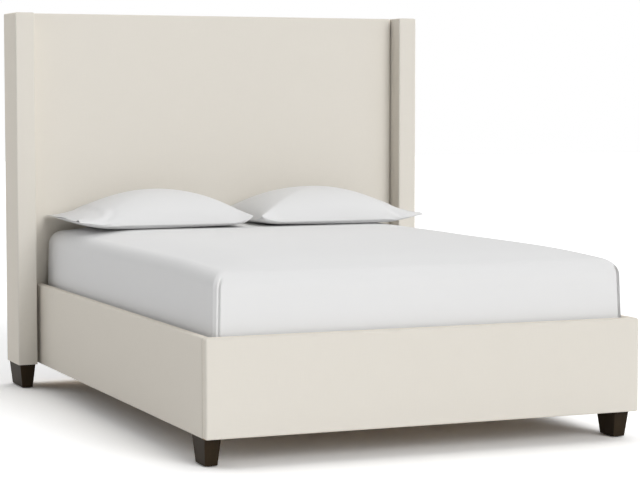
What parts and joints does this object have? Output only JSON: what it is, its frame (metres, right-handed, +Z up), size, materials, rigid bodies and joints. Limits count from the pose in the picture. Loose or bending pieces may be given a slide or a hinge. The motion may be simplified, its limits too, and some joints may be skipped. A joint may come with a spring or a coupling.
{
  "type": "upholstered bed",
  "caption": "Queen-size bed with a tall winged upholstered headboard, low padded rails, dark block legs, a mattress in a fitted sheet and loose pillows.",
  "frame": {"origin": "on the floor under the middle of the bed's bounding box", "axes": "+Y from the foot of the bed to the headboard, +X to the right seen from the foot, +Z up"},
  "size_m": [1.788, 2.226, 1.536],
  "materials": {
    "cream_upholstery": "smooth close linen-look weave, matt",
    "foam": "open cut foam",
    "white_cotton": "plain woven cotton, matt",
    "mattress_ticking": "knitted ticking",
    "pillow_ticking": "plain woven ticking",
    "dust_cloth": "thin non-woven cloth",
    "webbing": "woven tape",
    "espresso_wood": "espresso stain, satin lacquer",
    "plywood": "sanded, unfinished",
    "pine": "planed, unfinished",
    "black_plastic": "moulded, matt",
    "zinc_steel": "bright zinc plate"
  },
  "bodies": {
    "frame": {"headboard_cover": "cream_upholstery", "headboard_padding": "foam", "headboard_face_board": "plywood", "headboard_fixing_board": "pine", "headboard_left_stile": "pine", "headboard_right_stile": "pine", "headboard_top_rail": "pine", "headboard_middle_rail": "pine", "headboard_bottom_rail": "pine", "headboard_back_cloth": "dust_cloth", "left_wing_cover": "cream_upholstery", "left_wing_padding": "foam", "left_wing_skins": "plywood", "left_wing_posts": "pine", "left_wing_ribs": "pine", "right_wing_cover": "cream_upholstery", "right_wing_padding": "foam", "right_wing_skins": "plywood", "right_wing_posts": "pine", "right_wing_ribs": "pine", "wing_bolts": "zinc_steel", "left_rail_cover": "cream_upholstery", "left_rail_padding": "foam", "left_rail_board": "plywood", "right_rail_cover": "cream_upholstery", "right_rail_padding": "foam", "right_rail_board": "plywood", "footboard_cover": "cream_upholstery", "footboard_padding": "foam", "footboard_board": "plywood", "left_corner_block": "pine", "right_corner_block": "pine", "corner_brackets": "zinc_steel", "bracket_bolts": "zinc_steel", "left_foot_leg": "espresso_wood", "right_foot_leg": "espresso_wood", "left_wing_leg": "espresso_wood", "right_wing_leg": "espresso_wood", "leg_bolts": "zinc_steel", "leg_glides": "black_plastic", "left_ledger": "pine", "right_ledger": "pine", "centre_beam": "pine", "beam_hangers": "zinc_steel", "slats": "pine", "slat_straps": "webbing", "wood_screws": "zinc_steel", "front_centre_leg": "espresso_wood", "rear_centre_leg": "espresso_wood", "leveller_inserts": "zinc_steel"},
    "mattress": {"mattress": "mattress_ticking", "fitted_sheet": "white_cotton"},
    "left_pillow": {"left_pillow": "pillow_ticking", "left_pillowcase": "white_cotton"},
    "right_pillow": {"right_pillow": "pillow_ticking", "right_pillowcase": "white_cotton"},
    "front_leveller_foot": {"front_leveller_foot": "black_plastic"},
    "front_leveller_stem": {"front_leveller_stem": "zinc_steel"},
    "rear_leveller_foot": {"rear_leveller_foot": "black_plastic"},
    "rear_leveller_stem": {"rear_leveller_stem": "zinc_steel"}
  },
  "joints": [
    {"name": "mattress_lift", "type": "slide", "parent": "frame", "child": "mattress", "axis": [0, 0, 1], "range_m": [0, 0.12]},
    {"name": "left_pillow_lift", "type": "slide", "parent": "mattress", "child": "left_pillow", "axis": [0, 0, 1], "range_m": [0, 0.2]},
    {"name": "right_pillow_lift", "type": "slide", "parent": "mattress", "child": "right_pillow", "axis": [0, 0, 1], "range_m": [0, 0.2]},
    {"name": "front_leveller_drop", "type": "slide", "parent": "frame", "child": "front_leveller_foot", "axis": [0, 0, 1], "range_m": [-0.01, 0]},
    {"name": "front_leveller_spin", "type": "hinge", "parent": "front_leveller_foot", "child": "front_leveller_stem", "pos_m": [0, -0.35, 0.02], "axis": [0, 0, 1], "range_deg": [-2880, 0]},
    {"name": "rear_leveller_drop", "type": "slide", "parent": "frame", "child": "rear_leveller_foot", "axis": [0, 0, 1], "range_m": [-0.01, 0]},
    {"name": "rear_leveller_spin", "type": "hinge", "parent": "rear_leveller_foot", "child": "rear_leveller_stem", "pos_m": [0, 0.35, 0.02], "axis": [0, 0, 1], "range_deg": [-2880, 0]}
  ],
  "couplings": [
    {"joint": "front_leveller_spin", "follows": "front_leveller_drop", "rad_per_m": 5026.5},
    {"joint": "rear_leveller_spin", "follows": "rear_leveller_drop", "rad_per_m": 5026.5}
  ]
}
